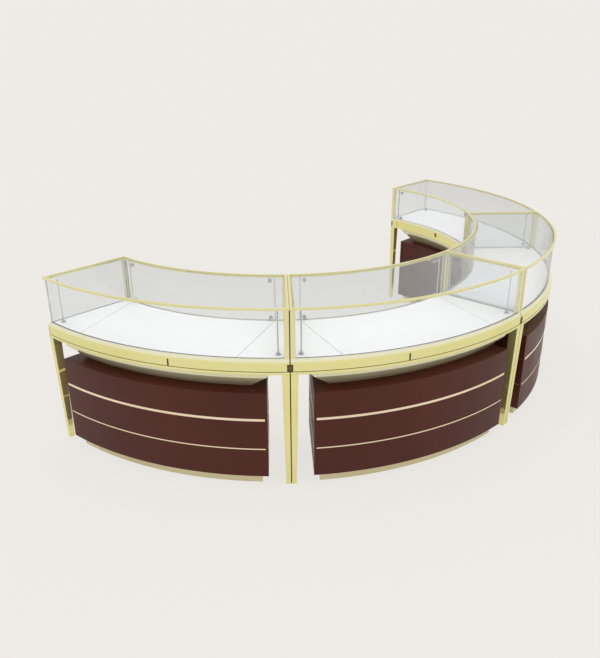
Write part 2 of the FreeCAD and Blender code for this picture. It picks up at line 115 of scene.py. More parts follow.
def section_angle(number):
    """Angle of the middle of a section, from the direction of its lock."""
    direction = lock_line(number)[1]
    return math.atan2(-direction.x, direction.y)


section_angles = [section_angle(number) for number in SECTIONS]
half_section = (section_angles[1] - section_angles[0]) / 2
joint_angles = [section_angles[0] - half_section] + [angle + half_section for angle in section_angles]
print("section ends at", [round(math.degrees(angle), 1) for angle in joint_angles], "degrees")

# %% [markdown]
# A node of the construction can hold many separate solids, such as the sixteen legs or the five boards of
# a cabinet. Its mesh arrives with every face split from its neighbours, one solid after the other, so a
# solid ends where each edge has met its partner. Welding the whole node at once would also glue boards
# that only touch, so each solid is welded by itself.

# %% Weld the solids of a node
WELD = 0.01 * MM


def closed_runs(mesh):
    """The faces of a mesh, in runs that end where every edge has met its partner."""
    runs = [[]]
    alone = set()
    for face in mesh.faces:
        if runs[-1] and not alone:
            runs.append([])
        runs[-1].append(face)
        spots = [tuple(round(value / WELD) for value in vertex.co) for vertex in face.verts]
        for edge in zip(spots, spots[1:] + spots[:1]):
            if edge[::-1] in alone:
                alone.remove(edge[::-1])
            else:
                alone.add(edge)
    return runs


def welded(node):
    """Editable copy of a node's mesh, with the split edges of each solid welded together again."""
    mesh = bmesh.new()
    mesh.from_mesh(frame["nodes"][node].data)
    for faces in closed_runs(mesh):
        corners = dict.fromkeys(vertex for face in faces for vertex in face.verts)
        bmesh.ops.remove_doubles(mesh, verts=list(corners), dist=WELD)
    return mesh


sample = welded("cabinet_1")
print("first cabinet welded to", len(sample.verts), "corner points")
sample.free()

# %% [markdown]
# Once it is welded, a solid is all that can be reached from one face by stepping over edges. The pieces
# that are made later take their places from the solids: from their boxes, or from their limits around the
# ring.

# %% Take a node apart into its solids


def solids(mesh):
    """The faces of a welded mesh, one list for each solid. A list grows while it is walked."""
    seen = set()
    found = []
    for first in mesh.faces:
        if first in seen:
            continue
        seen.add(first)
        faces = [first]
        for face in faces:
            neighbours = [other for edge in face.edges for other in edge.link_faces if other not in seen]
            seen.update(neighbours)
            faces.extend(dict.fromkeys(neighbours))
        found.append(faces)
    return found


def points_of(faces):
    """Places of the corners of some faces. A corner comes once for each face that it belongs to."""
    return [vertex.co for face in faces for vertex in face.verts]


def limits(faces):
    """Least and greatest angle, distance from the axis and height of some faces."""
    places = [(bearing(point), distance_out(point), point.z) for point in points_of(faces)]
    return [(min(values), max(values)) for values in zip(*places)]


def solid_boxes(node):
    """Lowest corner, highest corner and middle of each solid of a node."""
    mesh = welded(node)
    boxes = []
    for faces in solids(mesh):
        points = points_of(faces)
        low = Vector([min(point[axis] for point in points) for axis in range(3)])
        high = Vector([max(point[axis] for point in points) for axis in range(3)])
        boxes.append((low, high, (low + high) / 2))
    mesh.free()
    return boxes


print("light poles found:", len(solid_boxes("light_poles")))

# %% [markdown]
# Each finish is a small network of nodes. A number or a colour is set on a node's own input, and what
# another node gives is linked to it. One helper does both, for new nodes and for the shader that a new
# material has.

# %% Tools for shader nodes


def fill_inputs(tree, node, inputs):
    """Sets numbers and colours on a node's inputs, and links what comes from other nodes."""
    for name, value in inputs.items():
        if isinstance(value, bpy.types.NodeSocket):
            tree.links.new(value, node.inputs[name])
        else:
            node.inputs[name].default_value = value


def add_node(tree, kind, inputs=None, **settings):
    """New shader node with its settings and inputs."""
    node = tree.nodes.new(kind)
    for name, value in settings.items():
        setattr(node, name, value)
    fill_inputs(tree, node, inputs or {})
    return node


def new_finish(name):
    """New material, its tree of nodes and its principled shader."""
    finish = bpy.data.materials.new(name)
    finish.use_nodes = True
    return finish, finish.node_tree, finish.node_tree.nodes["Principled BSDF"]


print("node tools ready")

# %% [markdown]
# Most finishes are built from clouds. A cloud is a noise texture whose grey values are stretched to a
# chosen range, and it serves for tone, for roughness and for the height of a bump. It is laid out in the
# object's own coordinates, in metres, so a pattern stays on its piece when a drawer or a door moves.

# %% Clouds, tones and relief
USUAL_NOISE = (0.3, 0.7)


def cloud(tree, scale, low=0.0, high=1.0, detail=3.0, stretch=(1, 1, 1)):
    """Noise in the object's coordinates, stretched to the range from low to high."""
    coordinates = add_node(tree, "ShaderNodeTexCoord")
    spread = add_node(tree, "ShaderNodeMapping", {
        "Vector": coordinates.outputs["Object"], "Scale": stretch})
    noise = add_node(tree, "ShaderNodeTexNoise", {
        "Vector": spread.outputs["Vector"], "Scale": scale, "Detail": detail})
    fitted = add_node(tree, "ShaderNodeMapRange", {
        "Value": noise.outputs[0], "From Min": USUAL_NOISE[0], "From Max": USUAL_NOISE[1],
        "To Min": low, "To Max": high})
    return fitted.outputs["Result"]


def tones(tree, share, dark, light):
    """Colour between two tones."""
    ramp = add_node(tree, "ShaderNodeValToRGB", {"Fac": share})
    ramp.color_ramp.elements[0].color = (*dark, 1)
    ramp.color_ramp.elements[1].color = (*light, 1)
    return ramp.outputs["Color"]


def relief(tree, height, depth, base=None):
    """Bump of a given depth in metres, on top of another bump if there is one."""
    inputs = {"Height": height, "Distance": depth, "Strength": 1.0}
    if base:
        inputs["Normal"] = base
    return add_node(tree, "ShaderNodeBump", inputs).outputs["Normal"]


print("finish tools ready")

# %% [markdown]
# The frames of the counter are polished stainless steel with a pale gold coating. Polished metal has
# almost no colour of its own surface to show: what the eye reads is the tint of its reflections. So the
# finish is a mostly metallic shader with a light gold tint and a low roughness. Two things make it look
# like sheet metal: a faint film of wiping marks in the roughness, and a long slow wave, because thin
# polished sheet is never quite flat. The plinth is darker and duller. The folded neck is the waviest sheet
# of all, and its greyer, less metallic gold is painted shade, for the neck beneath the apron. Posts and rim
# of the glass case are a little paler, and the top of the apron's lip is cream: both are painted reflection
# of the bright sky above them.

# %% Pale gold, in five states
GOLD_TONE_SCALE = 1.7
WAVE_SCALE = 3.5
WIPE_SCALE = 55
POLISH_SCALE = 260
POLISH_DEPTH = 0.002 * MM


def gold_sheet(name, deep, light, metal, roughness, wave):
    """Gold-coated steel between two tones, with a range of roughness and a depth of the sheet's waves."""
    finish, tree, shader = new_finish(name)
    waves = relief(tree, cloud(tree, WAVE_SCALE, detail=1.0), wave)
    fill_inputs(tree, shader, {
        "Base Color": tones(tree, cloud(tree, GOLD_TONE_SCALE), deep, light),
        "Metallic": metal,
        "Roughness": cloud(tree, WIPE_SCALE, *roughness, detail=5.0),
        "Normal": relief(tree, cloud(tree, POLISH_SCALE), POLISH_DEPTH, waves),
    })
    return finish


polished_gold = gold_sheet("polished_gold", deep=(0.80, 0.74, 0.29), light=(0.86, 0.81, 0.38),
                           metal=0.72, roughness=(0.07, 0.15), wave=0.6 * MM)
# A shaded copy of the frame gold: its greyer, less metallic tint is painted shade, for the neck beneath the apron.
painted_shade_neck = gold_sheet("painted_shade_neck", deep=(0.74, 0.71, 0.46), light=(0.80, 0.77, 0.52),
                       metal=0.45, roughness=(0.06, 0.12), wave=3.0 * MM)
plinth_and_gap_shade_gold = gold_sheet("plinth_and_gap_shade_gold", deep=(0.66, 0.57, 0.34), light=(0.74, 0.65, 0.42),
                         metal=0.60, roughness=(0.26, 0.38), wave=1.0 * MM)
# A paler, creamier gold: painted reflection of the bright sky in the top of the apron's lip.
painted_reflection_lip = gold_sheet("painted_reflection_lip", deep=(0.87, 0.84, 0.60), light=(0.91, 0.89, 0.67),
                      metal=0.72, roughness=(0.10, 0.20), wave=0.6 * MM)
# A paler gold: painted reflection of the bright sky in the posts and rim of the glass case.
painted_reflection_rim = gold_sheet("painted_reflection_rim", deep=(0.79, 0.74, 0.38), light=(0.85, 0.81, 0.46),
                      metal=0.72, roughness=(0.09, 0.18), wave=0.6 * MM)
gold_states = (polished_gold, painted_shade_neck, plinth_and_gap_shade_gold, painted_reflection_lip, painted_reflection_rim)
print("gold finishes:", *[finish.name for finish in gold_states])

# %% [markdown]
# The inlay lines on the cabinets and the door knobs are a warmer, creamier gold than the frames. They are
# drawn brass, so their marks run along the strip. Noise that is squeezed in height gives such fine level
# lines.

# %% Cream gold
CREAM_DEEP = (0.92, 0.74, 0.52)
CREAM_LIGHT = (0.98, 0.83, 0.63)
CREAM_TONE_SCALE = 4
TARNISH_SCALE = 130
TARNISH_ROUGHNESS = (0.20, 0.32)
MARK_SCALE = 90
MARK_SQUEEZE = (1, 1, 30)
MARK_DEPTH = 0.01 * MM


def drawn_brass():
    """Brass with fine level drawing marks."""
    finish, tree, shader = new_finish("cream_gold")
    marks = cloud(tree, MARK_SCALE, detail=4.0, stretch=MARK_SQUEEZE)
    fill_inputs(tree, shader, {
        "Base Color": tones(tree, cloud(tree, CREAM_TONE_SCALE), CREAM_DEEP, CREAM_LIGHT),
        "Metallic": 1.0,
        "Roughness": cloud(tree, TARNISH_SCALE, *TARNISH_ROUGHNESS),
        "Normal": relief(tree, marks, MARK_DEPTH),
    })
    return finish


cream_gold = drawn_brass()
print("made", cream_gold.name)

# %% [markdown]
# The cabinets are sprayed with a wine-red satin lacquer. Sprayed lacquer dries with a very fine orange
# peel, and hands and cloths leave zones that are a little glossier than others. The colour is deep, so
# the reflection counts for much of what is seen: the specular level is kept low, and the roughness stays
# in the satin range.

# %% Wine-red lacquer
WINE_DEEP = (0.067, 0.0105, 0.0046)
WINE_LIGHT = (0.083, 0.0140, 0.0064)
WINE_TONE_SCALE = 2.3
SATIN_SCALE = 6
SATIN_ROUGHNESS = (0.38, 0.48)
PEEL_SCALE = 420
PEEL_DEPTH = 0.02 * MM


def sprayed_lacquer():
    """Satin wine-red lacquer with a fine orange peel."""
    finish, tree, shader = new_finish("wine_lacquer")
    peel = cloud(tree, PEEL_SCALE, detail=2.0)
    fill_inputs(tree, shader, {
        "Base Color": tones(tree, cloud(tree, WINE_TONE_SCALE), WINE_DEEP, WINE_LIGHT),
        "Roughness": cloud(tree, SATIN_SCALE, *SATIN_ROUGHNESS),
        "Specular IOR Level": 0.28,
        "Normal": relief(tree, peel, PEEL_DEPTH),
    })
    return finish


wine_lacquer = sprayed_lacquer()
print("made", wine_lacquer.name)

# %% [markdown]
# Jewelry lies on white boards. Theirs is a satin white with a fine leathery grain, which keeps small
# things from sliding and hides finger marks. A very small change of tone keeps the large surface from
# looking like paper.

# %% White display board
BOARD_DEEP = (0.93, 0.93, 0.93)
BOARD_LIGHT = (0.96, 0.96, 0.96)
BOARD_TONE_SCALE = 3.1
RUBBED_SCALE = 14
RUBBED_ROUGHNESS = (0.38, 0.5)
LEATHER_SCALE = 900
LEATHER_DEPTH = 0.01 * MM


def grained_board():
    """Satin white board with a fine grain."""
    finish, tree, shader = new_finish("white_board")
    grain = cloud(tree, LEATHER_SCALE, detail=2.0)
    fill_inputs(tree, shader, {
        "Base Color": tones(tree, cloud(tree, BOARD_TONE_SCALE), BOARD_DEEP, BOARD_LIGHT),
        "Roughness": cloud(tree, RUBBED_SCALE, *RUBBED_ROUGHNESS),
        "Specular IOR Level": 0.3,
        "Normal": relief(tree, grain, LEATHER_DEPTH),
    })
    return finish


white_board = grained_board()
print("made", white_board.name)

# %% [markdown]
# Through the faces of a pane the room shows, a little greyer and cooler, with a reflection that grows
# towards a glancing angle. So the finish mixes a tinted transparent shader with a sharp reflection by the
# Fresnel law. Rays that carry light to the deck pass the faces freely, as they nearly do on a real
# showcase, which is made of the clearest glass to be had.

# %% Clear glass
PANE_TINT = (0.966, 0.974, 0.979, 1)
GLASS_BEND = 1.45
SMEAR_SCALE = 9
SMEAR_DEPTH = 0.02 * MM
FILM_SCALE = 22
FILM_ROUGHNESS = (0.0, 0.03)


def mix_shaders(tree, share, first, second):
    """Shader that goes from the first to the second as the share goes from 0 to 1."""
    return add_node(tree, "ShaderNodeMixShader", {0: share, 1: first, 2: second}).outputs["Shader"]


def either(tree, first, second):
    """1 for a ray that passes at least one of two tests, else 0."""
    return add_node(tree, "ShaderNodeMath", {0: first, 1: second}, operation="MAXIMUM").outputs["Value"]


def clear_pane():
    """Faces of a pane: tinted view through it, and a reflection by the Fresnel law."""
    finish, tree, shader = new_finish("clear_glass")
    tree.nodes.remove(shader)
    smears = relief(tree, cloud(tree, SMEAR_SCALE, detail=2.0), SMEAR_DEPTH)
    film = cloud(tree, FILM_SCALE, *FILM_ROUGHNESS)
    gloss = add_node(tree, "ShaderNodeBsdfGlossy", {"Roughness": film, "Normal": smears})
    tinted = add_node(tree, "ShaderNodeBsdfTransparent", {"Color": PANE_TINT})
    sides = add_node(tree, "ShaderNodeNewGeometry")
    bend = add_node(tree, "ShaderNodeMapRange", {
        "Value": sides.outputs["Backfacing"], "To Min": GLASS_BEND, "To Max": 1 / GLASS_BEND})
    share = add_node(tree, "ShaderNodeFresnel", {"IOR": bend.outputs["Result"]})
    seen = mix_shaders(tree, share.outputs["Fac"], tinted.outputs["BSDF"], gloss.outputs["BSDF"])
    rays = add_node(tree, "ShaderNodeLightPath")
    lighting = either(tree, rays.outputs["Is Shadow Ray"], rays.outputs["Is Diffuse Ray"])
    free = add_node(tree, "ShaderNodeBsdfTransparent")
    pane = mix_shaders(tree, lighting, seen, free.outputs["BSDF"])
    tree.links.new(pane, tree.nodes["Material Output"].inputs["Surface"])
    return finish


clear_glass = clear_pane()
print("made", clear_glass.name)

# %% [markdown]
# Along the cut edges of a pane the light has travelled through a lot of glass, and they look grey-green.
# They are ground and polished, which leaves them a little rougher than the faces. A plain shader is
# enough here, because nothing shows through an edge.

# %% Cut edges of the glass
EDGE_DEEP = (0.56, 0.61, 0.59)
EDGE_LIGHT = (0.72, 0.77, 0.75)
EDGE_TONE_SCALE = 40
EDGE_GLOSS_SCALE = 200
EDGE_ROUGHNESS = (0.12, 0.25)
GRINDING_SCALE = 500
GRINDING_DEPTH = 0.01 * MM


def cut_edge():
    """Ground and polished edge of a pane."""
    finish, tree, shader = new_finish("glass_edge")
    fill_inputs(tree, shader, {
        "Base Color": tones(tree, cloud(tree, EDGE_TONE_SCALE), EDGE_DEEP, EDGE_LIGHT),
        "Roughness": cloud(tree, EDGE_GLOSS_SCALE, *EDGE_ROUGHNESS),
        "Normal": relief(tree, cloud(tree, GRINDING_SCALE), GRINDING_DEPTH),
    })
    return finish


glass_edge = cut_edge()
print("made", glass_edge.name)

# %% [markdown]
# The small metal fittings share a few plain finishes. Clamps, poles, pins and runners are satin steel
# with fine brushing marks. The locks and the blocks that bolt two sections together are brown bronze,
# with worn brass screws.

# %% Finishes of the metal fittings
BRUSHED = (1, 1, 0.04)
TONE_SHARE = 1 / 9
ROUGHNESS_SHARE = 1 / 3


def fitting_finish(name, dark, light, roughness, metal, grain, depth, stretch=(1, 1, 1)):
    """Plain finish with a range of tone and roughness, and a grain of a given size and depth."""
    finish, tree, shader = new_finish(name)
    fill_inputs(tree, shader, {
        "Base Color": tones(tree, cloud(tree, grain * TONE_SHARE), dark, light),
        "Metallic": metal,
        "Roughness": cloud(tree, grain * ROUGHNESS_SHARE, *roughness),
        "Normal": relief(tree, cloud(tree, grain, stretch=stretch), depth),
    })
    return finish


satin_steel = fitting_finish("satin_steel", dark=(0.50, 0.51, 0.53), light=(0.63, 0.64, 0.66),
                             roughness=(0.24, 0.38), metal=1.0, grain=900, depth=0.01 * MM, stretch=BRUSHED)
# This bronze also gives the dark socket plugs of the screws, which are painted shade.
bronze_and_socket_shade = fitting_finish("bronze_and_socket_shade", dark=(0.085, 0.052, 0.022), light=(0.130, 0.085, 0.040),
                              roughness=(0.35, 0.50), metal=0.5, grain=300, depth=0.03 * MM)
worn_brass = fitting_finish("worn_brass", dark=(0.30, 0.23, 0.12), light=(0.42, 0.33, 0.18),
                            roughness=(0.30, 0.45), metal=0.9, grain=500, depth=0.02 * MM)
print("made", satin_steel.name, bronze_and_socket_shade.name, "and", worn_brass.name)

# %% [markdown]
# The soft and moulded fittings are made the same way, without metal. The nearly black finish is painted
# shade, laid into gaps and slots. The seals of the panes are soft grey rubber or pale silicone, the upright
# edges of the display boards are grey as painted shade of the gaps between the boards, the light lenses are
# opal plastic, and the lighting drivers have moulded cases.

# %% Finishes of the moulded fittings
# Nearly black: painted shade in the joint gaps, the apron's gaps and the key slots.
painted_gap_shade = fitting_finish("painted_gap_shade", dark=(0.050, 0.038, 0.018), light=(0.075, 0.058, 0.030),
                            roughness=(0.60, 0.80), metal=0.0, grain=400, depth=0.03 * MM)
grey_rubber = fitting_finish("grey_rubber", dark=(0.36, 0.39, 0.42), light=(0.44, 0.47, 0.50),
                             roughness=(0.55, 0.75), metal=0.0, grain=500, depth=0.03 * MM)
# Grey on the upright edges of the display boards: painted shade of the gaps between them.
grey_gap_shade = fitting_finish("grey_gap_shade", dark=(0.33, 0.33, 0.32), light=(0.40, 0.40, 0.39),
                              roughness=(0.45, 0.60), metal=0.0, grain=600, depth=0.02 * MM)
pale_silicone = fitting_finish("pale_silicone", dark=(0.70, 0.71, 0.68), light=(0.78, 0.79, 0.76),
                               roughness=(0.25, 0.40), metal=0.0, grain=500, depth=0.02 * MM)
opal_lens = fitting_finish("opal_lens", dark=(0.82, 0.81, 0.77), light=(0.88, 0.87, 0.84),
                           roughness=(0.35, 0.50), metal=0.0, grain=400, depth=0.01 * MM)
moulded_case = fitting_finish("moulded_case", dark=(0.78, 0.78, 0.77), light=(0.85, 0.85, 0.84),
                              roughness=(0.45, 0.60), metal=0.0, grain=800, depth=0.02 * MM)
moulded_finishes = (painted_gap_shade, grey_rubber, grey_gap_shade, pale_silicone, opal_lens, moulded_case)
print("made", *[finish.name for finish in moulded_finishes])

# %% [markdown]
# Every node of the construction now gets its finish. The record of the part says which kind of surface
# each node has, and that decides for almost all of them. Neck, plinth, posts and rim are gold like the
# frames, but in their own states, and the locks are bronze.

# %% Dress the construction
FINISH_OF_SLOT = {
    "gold": polished_gold,
    "pale_gold": cream_gold,
    "glass": clear_glass,
    "white_board": white_board,
    "lacquer": wine_lacquer,
    "steel": satin_steel,
    "dark_steel": bronze_and_socket_shade,
    "driver_case": moulded_case,
}
FINISH_OF_NODE = {"necks": painted_shade_neck, "plinths": plinth_and_gap_shade_gold, "top_rims": painted_reflection_rim, "case_posts": painted_reflection_rim}
FINISH_OF_NODE.update({f"drawer_{number}_lock": bronze_and_socket_shade for number in SECTIONS})
record = frame["record"]
slot_of = {part["node"]: part["material_slot"] for part in record["subparts"]}
body_of = {node: body for body, members in record["behaviour"]["bodies"].items() for node in members}


def finish_of(node):
    """Finish of a node of the construction."""
    return FINISH_OF_NODE.get(node, FINISH_OF_SLOT[slot_of[node]])


for node, piece in frame["nodes"].items():
    piece.data.materials.clear()
    piece.data.materials.append(finish_of(node))
print("dressed", len(frame["nodes"]), "nodes")

# %% [markdown]
# The pieces that come next are edited as meshes and then turned into objects. Each object rides on a body
# of the construction, so that it moves with its drawer, lock or door. Normals are smooth over gentle
# curves and sharp over real edges.

# %% Turn a mesh into a piece
SMOOTH_ANGLE = math.radians(32)


def make_piece(name, mesh, body, slot, *finishes, own_normals=False):
    """Object from an edited mesh, riding on a body. A copy of the construction keeps its own normals."""
    if not own_normals:
        bmesh.ops.recalc_face_normals(mesh, faces=mesh.faces)
    data = bpy.data.meshes.new(name)
    mesh.to_mesh(data)
    mesh.free()
    data.shade_smooth()
    data.set_sharp_from_angle(angle=SMOOTH_ANGLE)
    for finish in finishes:
        data.materials.append(finish)
    piece = bpy.data.objects.new(name, data)
    scene.collection.objects.link(piece)
    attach(piece, body)
    return piece


print("new pieces go into", scene.collection.name)

# %% [markdown]
# No real edge is perfectly sharp. Folded sheet, sanded lacquer and sawn board all end in a small round,
# and that round is what catches the light along a frame. So the main pieces get a copy with eased edges.
# How wide the round is depends on how the piece is made: a leg is folded from thicker sheet than a rim, a
# door is rounded over before it is sprayed, and a display board is only broken with sandpaper.

# %% How far the edges are eased
EASED_WIDTH = {
    "legs": 1.2 * MM, "case_posts": 1.0 * MM, "top_rims": 0.8 * MM, "plinths": 0.8 * MM,
    "inlay_strips": 0.6 * MM, "necks": 0.8 * MM, "shelves": 0.8 * MM, "fixed_decks": 0.5 * MM,
    "joint_connectors": 0.8 * MM, "apron_frames": 0.8 * MM, "apron_bands": 0.7 * MM,
}
for number in SECTIONS:
    EASED_WIDTH[f"cabinet_{number}"] = 0.5 * MM
    EASED_WIDTH[f"drawer_{number}_front"] = 0.7 * MM
    EASED_WIDTH[f"drawer_{number}_tray"] = 0.5 * MM
    for hand in ("left", "right"):
        EASED_WIDTH[f"door_{number}_{hand}"] = 1.2 * MM
print("edges to ease on", len(EASED_WIDTH), "nodes")

# %% [markdown]
# Two kinds of piece show a second finish: the apron, whose leaning lip is paler along its top as a painted
# reflection of the bright sky, and the display boards, whose upright edges are grey as painted shade of the
# gaps between the boards. The faces are picked by their height or by the way they look. The lip is first
# cut level, so that the painted reflection begins along a clean line.

# %% Second finishes
LIP_REFLECTION_DEPTH = 14 * MM
LEVEL_SHARE = 0.3
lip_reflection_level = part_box("apron_frames")[1][2] - LIP_REFLECTION_DEPTH


def is_lip_reflection(face):
    """Whether a face of the apron belongs to the top of its lip, which gets the painted reflection."""
    return face.calc_center_median().z > lip_reflection_level


def is_gap_shade_edge(face):
    """Whether a face of a display board is one of its upright edges, which get the painted shade."""
    return abs(face.normal.z) < LEVEL_SHARE


def mark_second_finish(mesh, chosen):
    """Gives the second finish to the faces that are chosen."""
    if chosen == is_lip_reflection:
        everything = list(mesh.verts) + list(mesh.edges) + list(mesh.faces)
        bmesh.ops.bisect_plane(mesh, geom=everything, plane_co=UP * lip_reflection_level, plane_no=UP)
    for face in mesh.faces:
        face.material_index = int(chosen(face))


# The lip's top gets a painted reflection, and the boards' upright edges get painted shade.
SECOND_FINISH = {"apron_frames": (painted_reflection_lip, is_lip_reflection), "fixed_decks": (grey_gap_shade, is_gap_shade_edge)}
for number in SECTIONS:
    SECOND_FINISH[f"drawer_{number}_front"] = (painted_reflection_lip, is_lip_reflection)
    SECOND_FINISH[f"drawer_{number}_tray"] = (grey_gap_shade, is_gap_shade_edge)
print("second finish on", len(SECOND_FINISH), "nodes")

# %% [markdown]
# Now the copies are made, and each stands in for its bare solid. Flat faces are first joined into single
# faces, so that the rounding finds clean edges to follow, and weighted normals keep the large faces flat.

# %% Ease the edges of the main pieces
FLAT_ANGLE = math.radians(0.02)
EDGE_ANGLE = math.radians(35)
ROUND_SEGMENTS = 2
ROUND_PROFILE = 0.5


def ease(node, width):
    """Copy of a node with rounded edges, which stands in for it."""
    mesh = welded(node)
    bmesh.ops.dissolve_limit(mesh, angle_limit=FLAT_ANGLE, verts=mesh.verts, edges=mesh.edges)
    sharp = [edge for edge in mesh.edges
             if len(edge.link_faces) == 2 and edge.calc_face_angle() > EDGE_ANGLE]
    bmesh.ops.bevel(mesh, geom=sharp, offset=width, segments=ROUND_SEGMENTS, profile=ROUND_PROFILE,
                    affect="EDGES", clamp_overlap=True)
    finishes = [finish_of(node)]
    if node in SECOND_FINISH:
        second, chosen = SECOND_FINISH[node]
        finishes.append(second)
        mark_second_finish(mesh, chosen)
    piece = make_piece(f"eased_{node}", mesh, body_of[node], slot_of[node], *finishes, own_normals=True)
    weighted = piece.modifiers.new("flat_faces", "WEIGHTED_NORMAL")
    weighted.keep_sharp = True
    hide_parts(node)
    return piece


eased = {node: ease(node, width) for node, width in EASED_WIDTH.items()}
print("eased nodes with", sum(len(piece.data.polygons) for piece in eased.values()), "faces")

# %% [markdown]
# Two inlay lines run round every cabinet, and the lower one is a good deal finer than the upper. Both are
# strips of one node, so the lower ones are picked out by their height, and all are drawn together about
# their common middle line.

# %% Draw the lower inlay lines finer
FINE_SHARE = 0.7

half_way = sum(corner[2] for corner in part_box("inlay_strips")) / 2
lower_line = [vertex for vertex in eased["inlay_strips"].data.vertices if vertex.co.z < half_way]
lower_levels = [vertex.co.z for vertex in lower_line]
line_middle = (min(lower_levels) + max(lower_levels)) / 2
for vertex in lower_line:
    vertex.co.z = line_middle + FINE_SHARE * (vertex.co.z - line_middle)
print("lower inlay lines at", round(line_middle, 4))

# %% [markdown]
# The panes are copied too, so that their faces and their cut edges can have different finishes. For each
# pane the faces are sorted by the way they look: outward, along the ring or upward. The way with the most
# area is the clear face, whatever the pane's place, and everything else is edge. The top panes lie in the
# rim, and their edges get its pale gold, a painted reflection of the rim in them.

# %% Give the panes their cut edges
PANES = ["front_glass", "end_glass", "top_glass"] + [f"drawer_{number}_pane" for number in SECTIONS]


def way_of(face):
    """Whether a face looks outward (0), along the ring (1) or upward (2)."""
    angle = bearing(face.calc_center_median())
    shares = [abs(face.normal.dot(way)) for way in (outward(angle), along_ring(angle), UP)]
    return shares.index(max(shares))


def dress_pane(node):
    """Copy of a node of panes with clear faces and cut edges, which stands in for it."""
    # The top panes' edges take the rim's pale gold: a painted reflection of the rim.
    edge_finish = painted_reflection_rim if node == "top_glass" else glass_edge
    mesh = welded(node)
    bmesh.ops.dissolve_limit(mesh, angle_limit=FLAT_ANGLE, verts=mesh.verts, edges=mesh.edges)
    for faces in solids(mesh):
        area = [0, 0, 0]
        for face in faces:
            area[way_of(face)] += face.calc_area()
        clear = area.index(max(area))
        for face in faces:
            face.material_index = 0 if way_of(face) == clear else 1
    piece = make_piece(f"dressed_{node}", mesh, body_of[node], slot_of[node], clear_glass, edge_finish,
                       own_normals=True)
    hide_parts(node)
    return piece


panes = [dress_pane(node) for node in PANES]
print("dressed", len(panes), "nodes of panes")

# %% [markdown]
# Seals, liners and lenses are strips. A strip is a row of four corners that is carried along a line, with
# walls between the rows and a lid on both ends. Along the ring, the rows stand close enough for the strip
# to look curved.

# %% Strips along the ring
STRIP_STEP = math.radians(1.5)


def strip_of(mesh, rows, finish=0):
    """Closed strip through rows of four corners."""
    faces = [mesh.faces.new(rows[0]), mesh.faces.new(rows[-1])]
    for row, following in zip(rows, rows[1:]):
        for corner in range(4):
            after = (corner + 1) % 4
            faces.append(mesh.faces.new((row[corner], row[after], following[after], following[corner])))
    for face in faces:
        face.material_index = finish


def sweep_strip(mesh, start, end, near, far, low, high, finish=0):
    """Strip of rectangular section along the ring, between two angles."""
    steps = max(2, math.ceil(abs(end - start) / STRIP_STEP))
    section = ((near, low), (far, low), (far, high), (near, high))
    rows = []
    for step in range(steps + 1):
        angle = start + (end - start) * step / steps
        rows.append([mesh.verts.new(around(angle, radius, height)) for radius, height in section])
    strip_of(mesh, rows, finish)


print("strip tools ready")

# %% [markdown]
# A pane doesn't stand bare on metal: a thin bead runs along its foot on both sides. The front panes have
# grey rubber towards the deck, which shows as a fine cool line between the white board and the gold lip.
# Everywhere else it is pale silicone. The strips follow each curved pane from end to end, a hair away
# from the glass.

# %% Seal the curved panes
SEAL_WIDTH = 1.6 * MM
SEAL_HEIGHT = 1.4 * MM
SEAL_PLAY = 0.1 * MM


def seal_panes(node, name, inner_finish):
    """Seals along both sides of the foot of each curved pane of a node."""
    source = welded(node)
    mesh = bmesh.new()
    for faces in solids(source):
        angles, radii, levels = limits(faces)
        inner = radii[0] - SEAL_PLAY
        outer = radii[1] + SEAL_PLAY
        top = levels[0] + SEAL_HEIGHT
        sweep_strip(mesh, *angles, inner - SEAL_WIDTH, inner, levels[0], top)
        sweep_strip(mesh, *angles, outer, outer + SEAL_WIDTH, levels[0], top, finish=1)
    source.free()
    return make_piece(name, mesh, body_of[node], "driver_case", inner_finish, pale_silicone)


seals = [seal_panes("front_glass", "front_glass_seals", grey_rubber)]
for number in SECTIONS:
    seals.append(seal_panes(f"drawer_{number}_pane", f"drawer_{number}_pane_seal", pale_silicone))
print("sealed", len(seals), "rows of panes")

# %% [markdown]
# The flat end panes have a broader bead, on the narrow ledge that is left between the pane and the joint.
# It is a straight strip beside the section's end, so it is laid from the near post to the far one.

# %% Beads of the end panes
JOINT_GAP = 5.0 * MM
END_LEDGE = 8.0 * MM
POST_WIDTH = 24.0 * MM


def end_strip(mesh, angle, left, right, near, far, low, high, finish=0):
    """Straight strip beside a section's end, between two places across it and from near to far."""
    section = ((left, low), (right, low), (right, high), (left, high))
    rows = []
    for radius in (near, far):
        spots = [around(angle, radius, height) + along_ring(angle) * across for across, height in section]
        rows.append([mesh.verts.new(spot) for spot in spots])
    strip_of(mesh, rows, finish)


def reach(node):
    """Least and greatest distance of a node from the ring's axis."""
    radii = [distance_out(vertex.co) for vertex in frame["nodes"][node].data.vertices]
    return min(radii), max(radii)


deck_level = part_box("front_glass")[0][2]
bead_top = deck_level + SEAL_HEIGHT
post_near, post_far = reach("case_posts")
bead_near = post_near + POST_WIDTH
bead_far = post_far - POST_WIDTH
bead_ends = [(angle, side) for angle in joint_angles for side in (-1, 1)]
bead_mesh = bmesh.new()
for angle, side in bead_ends[1:-1]:
    left, right = sorted((side * JOINT_GAP / 2, side * (JOINT_GAP / 2 + END_LEDGE - SEAL_PLAY)))
    end_strip(bead_mesh, angle, left, right, bead_near, bead_far, deck_level, bead_top)
beads = make_piece("end_pane_beads", bead_mesh, "counter", "driver_case", pale_silicone)
print("made", beads.name, "at", len(bead_ends[1:-1]), "section ends")

# %% [markdown]
# Where two sections meet, a narrow gap runs from the rim to the floor between the paired posts and legs.
# The shade in it is painted: a nearly black strip is set into the gap, back from the faces, so the joint
# reads as one fine dark line. The strips follow the frame in steps: leg, apron and post each have their own,
# on the customers' side and on the staff's side. Between the rims the painted shade is one dull gold strip,
# just below their top.

